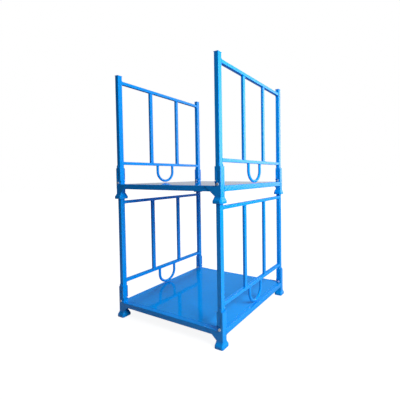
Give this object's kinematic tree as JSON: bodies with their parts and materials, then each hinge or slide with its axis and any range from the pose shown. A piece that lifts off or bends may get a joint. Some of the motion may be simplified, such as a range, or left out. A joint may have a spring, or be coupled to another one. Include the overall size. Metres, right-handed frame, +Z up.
{
  "type": "tyre storage rack",
  "caption": "Stackable steel tyre rack: deck frames on cup feet with end gates that lift and fold inwards; the top rack lifts off",
  "frame": {"origin": "on the floor, in the middle of the four lower foot cups", "axes": "+X to the right along the front, +Y to the back, +Z up"},
  "size_m": [1.525, 1.374, 2.799],
  "materials": {
    "blue_paint": "gloss powder coat",
    "deck_paint": "high gloss powder coat on flat sheet",
    "zinc_steel": "bright zinc plate"
  },
  "bodies": {
    "lower_base": {"lower_front_beam": "blue_paint", "lower_back_beam": "blue_paint", "lower_left_beam": "blue_paint", "lower_right_beam": "blue_paint", "lower_deck_sheet": "deck_paint", "lower_deck_bearers": "blue_paint", "lower_front_left_column": "blue_paint", "lower_front_right_column": "blue_paint", "lower_back_left_column": "blue_paint", "lower_back_right_column": "blue_paint", "lower_post_seats": "blue_paint", "lower_corner_gussets": "blue_paint", "lower_foot_cups": "blue_paint"},
    "lower_left_pivots": {"lower_left_pivot_bolts": "zinc_steel"},
    "lower_left_gate": {"lower_left_front_post": "blue_paint", "lower_left_back_post": "blue_paint", "lower_left_top_rail": "blue_paint", "lower_left_lower_rail": "blue_paint", "lower_left_bars": "blue_paint", "lower_left_loop": "blue_paint", "lower_left_post_caps": "blue_paint"},
    "lower_right_pivots": {"lower_right_pivot_bolts": "zinc_steel"},
    "lower_right_gate": {"lower_right_front_post": "blue_paint", "lower_right_back_post": "blue_paint", "lower_right_top_rail": "blue_paint", "lower_right_lower_rail": "blue_paint", "lower_right_bars": "blue_paint", "lower_right_loop": "blue_paint", "lower_right_post_caps": "blue_paint"},
    "upper_base": {"upper_front_beam": "blue_paint", "upper_back_beam": "blue_paint", "upper_left_beam": "blue_paint", "upper_right_beam": "blue_paint", "upper_deck_sheet": "deck_paint", "upper_deck_bearers": "blue_paint", "upper_front_left_column": "blue_paint", "upper_front_right_column": "blue_paint", "upper_back_left_column": "blue_paint", "upper_back_right_column": "blue_paint", "upper_post_seats": "blue_paint", "upper_corner_gussets": "blue_paint", "upper_foot_cups": "blue_paint"},
    "upper_left_pivots": {"upper_left_pivot_bolts": "zinc_steel"},
    "upper_left_gate": {"upper_left_front_post": "blue_paint", "upper_left_back_post": "blue_paint", "upper_left_top_rail": "blue_paint", "upper_left_lower_rail": "blue_paint", "upper_left_bars": "blue_paint", "upper_left_loop": "blue_paint", "upper_left_post_caps": "blue_paint"},
    "upper_right_pivots": {"upper_right_pivot_bolts": "zinc_steel"},
    "upper_right_gate": {"upper_right_front_post": "blue_paint", "upper_right_back_post": "blue_paint", "upper_right_top_rail": "blue_paint", "upper_right_lower_rail": "blue_paint", "upper_right_bars": "blue_paint", "upper_right_loop": "blue_paint", "upper_right_post_caps": "blue_paint"}
  },
  "joints": [
    {"name": "upper_rack_lift_off", "type": "slide", "parent": "lower_base", "child": "upper_base", "axis": [0, 0, 1], "range_m": [0, 3.6]},
    {"name": "upper_left_pivot_rise", "type": "slide", "parent": "upper_base", "child": "upper_left_pivots", "axis": [0, 0, 1], "range_m": [0, 0.061]},
    {"name": "upper_left_gate_fold", "type": "hinge", "parent": "upper_left_pivots", "child": "upper_left_gate", "pos_m": [-0.715, 0, 1.566], "axis": [0, 1, 0], "range_deg": [0, 90]},
    {"name": "upper_right_pivot_rise", "type": "slide", "parent": "upper_base", "child": "upper_right_pivots", "axis": [0, 0, 1], "range_m": [0, 0.115]},
    {"name": "upper_right_gate_fold", "type": "hinge", "parent": "upper_right_pivots", "child": "upper_right_gate", "pos_m": [0.715, 0, 1.566], "axis": [0, -1, 0], "range_deg": [0, 90]},
    {"name": "lower_left_pivot_rise", "type": "slide", "parent": "lower_base", "child": "lower_left_pivots", "axis": [0, 0, 1], "range_m": [0, 0.061]},
    {"name": "lower_left_gate_fold", "type": "hinge", "parent": "lower_left_pivots", "child": "lower_left_gate", "pos_m": [-0.715, 0, 0.184], "axis": [0, 1, 0], "range_deg": [0, 90]},
    {"name": "lower_right_pivot_rise", "type": "slide", "parent": "lower_base", "child": "lower_right_pivots", "axis": [0, 0, 1], "range_m": [0, 0.115]},
    {"name": "lower_right_gate_fold", "type": "hinge", "parent": "lower_right_pivots", "child": "lower_right_gate", "pos_m": [0.715, 0, 0.184], "axis": [0, -1, 0], "range_deg": [0, 90]}
  ],
  "couplings": [
    {"joint": "upper_left_pivot_rise", "follows": "upper_left_gate_fold", "m_per_rad": 0.038833},
    {"joint": "upper_right_pivot_rise", "follows": "upper_right_gate_fold", "m_per_rad": 0.073211},
    {"joint": "lower_left_pivot_rise", "follows": "upper_rack_lift_off", "ratio": 0.016944},
    {"joint": "lower_left_gate_fold", "follows": "upper_rack_lift_off", "rad_per_m": 0.43633},
    {"joint": "lower_right_pivot_rise", "follows": "upper_rack_lift_off", "ratio": 0.010648},
    {"joint": "lower_right_gate_fold", "follows": "upper_rack_lift_off", "rad_per_m": 0.14544}
  ]
}
